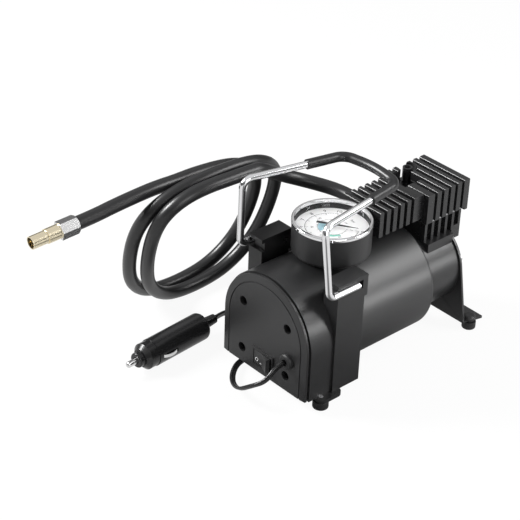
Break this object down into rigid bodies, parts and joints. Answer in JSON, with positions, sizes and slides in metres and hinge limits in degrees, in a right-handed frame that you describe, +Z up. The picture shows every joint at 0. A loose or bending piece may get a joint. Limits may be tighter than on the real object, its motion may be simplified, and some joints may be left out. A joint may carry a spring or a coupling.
{
  "type": "portable tire inflator",
  "caption": "Metal 12 V piston air compressor with a round pressure gauge, finned pump head, wire handle, coiled air hose with brass nozzle, and cord with lighter plug.",
  "frame": {"origin": "on the floor under the middle of the body's length and width, without the hose and cord", "axes": "X is the width, Y runs along the motor from the switch end to the pump end, +Z is up"},
  "size_m": [0.1888, 0.2943, 0.1445],
  "materials": {
    "housing_plastic": "satin, fine texture",
    "switch_plastic": "satin",
    "rocker_plastic": "satin",
    "soft_rubber": "matt",
    "grip_rubber": "satin sleeve",
    "hose_rubber": "satin",
    "cord_jacket": "glossy",
    "chrome_wire": "polished",
    "bezel_chrome": "polished",
    "plated_steel": "nickel plated",
    "zinc_screws": "zinc plated",
    "can_paint": "satin black",
    "casting_black": "black coated die casting",
    "gauge_black": "satin",
    "nut_black": "black",
    "dial_white": "printed",
    "pointer_black": "matt",
    "lens_clear": "clear",
    "brass": "turned",
    "core_steel": "laminated",
    "copper": "enamelled copper",
    "magnet": "ferrite",
    "end_cap_metal": "die cast",
    "card": "phenolic",
    "carbon": "carbon",
    "spring_steel": "wire",
    "ptfe": "filled",
    "gasket": "fibre",
    "plug_plastic": "glossy",
    "contact_metal": "nickel plated",
    "fuse_glass": "clear"
  },
  "bodies": {
    "frame": {"front_cover": "housing_plastic", "end_housing": "housing_plastic", "switch_housing": "switch_plastic", "cord_grommet": "soft_rubber", "rubber_feet": "soft_rubber", "handle_grip": "grip_rubber", "hose_lead": "hose_rubber", "hose_coil": "hose_rubber", "hose_end": "hose_rubber", "cord_lead": "cord_jacket", "cord_tail": "cord_jacket", "cord_coil": "cord_jacket", "plug_sleeve": "cord_jacket", "handle_wire": "chrome_wire", "gauge_bezel": "bezel_chrome", "hose_ferrule": "plated_steel", "cover_screws": "zinc_screws", "foot_screws": "zinc_screws", "pump_screws": "zinc_screws", "head_bolts": "zinc_screws", "can_screws": "zinc_screws", "switch_terminals": "zinc_screws", "motor_can": "can_paint", "rear_plate": "can_paint", "cylinder_head": "casting_black", "cylinder_block": "casting_black", "crankcase": "casting_black", "gauge_case": "gauge_black", "hose_nut": "nut_black", "gauge_dial": "dial_white", "gauge_lens": "lens_clear", "gauge_movement": "brass", "motor_bearings": "core_steel", "reed_valves": "core_steel", "valve_plate": "core_steel", "motor_magnets": "magnet", "motor_end_cap": "end_cap_metal", "brush_card": "card", "carbon_brushes": "carbon", "brush_springs": "spring_steel", "plug_spring": "spring_steel", "head_gasket": "gasket", "plug_body": "plug_plastic", "plug_cap": "plug_plastic", "plug_fuse": "fuse_glass"},
    "rotor": {"armature_core": "core_steel", "armature_windings": "copper", "commutator": "copper", "motor_shaft": "core_steel", "crank_disc": "core_steel"},
    "piston": {"connecting_rod": "end_cap_metal", "rod_bearing": "core_steel", "piston_cup": "ptfe", "piston_clamp_screw": "core_steel"},
    "rocker": {"switch_rocker": "rocker_plastic"},
    "pointer": {"gauge_pointer": "pointer_black"},
    "plug_pin": {"plug_centre_pin": "contact_metal"},
    "right_contact": {"plug_contact_right": "contact_metal"},
    "left_contact": {"plug_contact_left": "contact_metal"},
    "nozzle": {"brass_nozzle": "brass"}
  },
  "joints": [
    {"name": "rotor_spin", "type": "hinge", "parent": "frame", "child": "rotor", "pos_m": [0, 0, 0.0451], "axis": [0, 1, 0], "continuous": true},
    {"name": "piston_slide", "type": "slide", "parent": "frame", "child": "piston", "axis": [0, 0, 1], "range_m": [-0.012, 0]},
    {"name": "switch_rock", "type": "hinge", "parent": "frame", "child": "rocker", "pos_m": [0, -0.08539, 0.0215], "axis": [0, 0, 1], "range_deg": [0, 24]},
    {"name": "pointer_turn", "type": "hinge", "parent": "frame", "child": "pointer", "pos_m": [0, -0.02659, 0.1054], "axis": [0, 0, 1], "range_deg": [-270, 0]},
    {"name": "plug_pin_press", "type": "slide", "parent": "frame", "child": "plug_pin", "axis": [-0.0771, 0.997, 0], "range_m": [0, 0.004], "stiffness_N_per_m": 400},
    {"name": "right_contact_press", "type": "slide", "parent": "frame", "child": "right_contact", "axis": [-0.997, -0.0771, 0], "range_m": [0, 0.0012], "stiffness_N_per_m": 600},
    {"name": "left_contact_press", "type": "slide", "parent": "frame", "child": "left_contact", "axis": [0.997, 0.0771, 0], "range_m": [0, 0.0012], "stiffness_N_per_m": 600},
    {"name": "nozzle_swivel", "type": "hinge", "parent": "frame", "child": "nozzle", "pos_m": [-0.10214, -0.18165, 0.11329], "axis": [-0.0456, -0.9968, -0.0652], "continuous": true}
  ]
}
